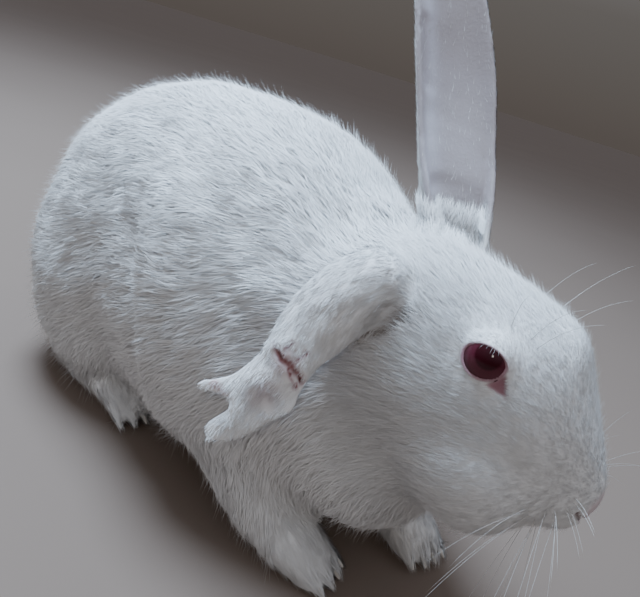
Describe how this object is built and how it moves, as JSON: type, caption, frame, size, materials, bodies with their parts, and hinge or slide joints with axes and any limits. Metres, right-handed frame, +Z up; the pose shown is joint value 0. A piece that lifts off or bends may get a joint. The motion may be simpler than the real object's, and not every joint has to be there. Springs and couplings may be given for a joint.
{
  "type": "lop rabbit model",
  "caption": "Life-size still model of a white rabbit crouching with its head low, one long ear upright and the other hanging down beside the cheek with a torn tip.",
  "frame": {"origin": "on the floor, under the middle of the model's bounding box", "axes": "+X the way the body faces, nose end; +Y the rabbit's left; +Z up"},
  "size_m": [0.322, 0.1488, 0.2463],
  "materials": {
    "white_coat": "short soft white fur",
    "ear_skin": "thin bare skin inside, short white fur outside",
    "ruby_eye": "wet gloss over a dark ruby pupil",
    "claw_horn": "translucent pale horn"
  },
  "bodies": {
    "root": {"trunk": "white_coat", "head": "white_coat", "neck": "white_coat", "tail": "white_coat", "thigh_left": "white_coat", "thigh_right": "white_coat", "foreleg_left": "white_coat", "foreleg_right": "white_coat", "forepaw_left": "white_coat", "forepaw_right": "white_coat", "hind_foot_left": "white_coat", "hind_foot_right": "white_coat", "ear_left": "ear_skin", "ear_right": "ear_skin", "eye_left": "ruby_eye", "eye_right": "ruby_eye", "claw_fore_left_1": "claw_horn", "claw_fore_left_2": "claw_horn", "claw_fore_left_3": "claw_horn", "claw_fore_left_4": "claw_horn", "claw_fore_right_1": "claw_horn", "claw_fore_right_2": "claw_horn", "claw_fore_right_3": "claw_horn", "claw_fore_right_4": "claw_horn", "claw_hind_left_1": "claw_horn", "claw_hind_left_2": "claw_horn", "claw_hind_left_3": "claw_horn", "claw_hind_left_4": "claw_horn", "claw_hind_right_1": "claw_horn", "claw_hind_right_2": "claw_horn", "claw_hind_right_3": "claw_horn", "claw_hind_right_4": "claw_horn"}
  },
  "joints": []
}
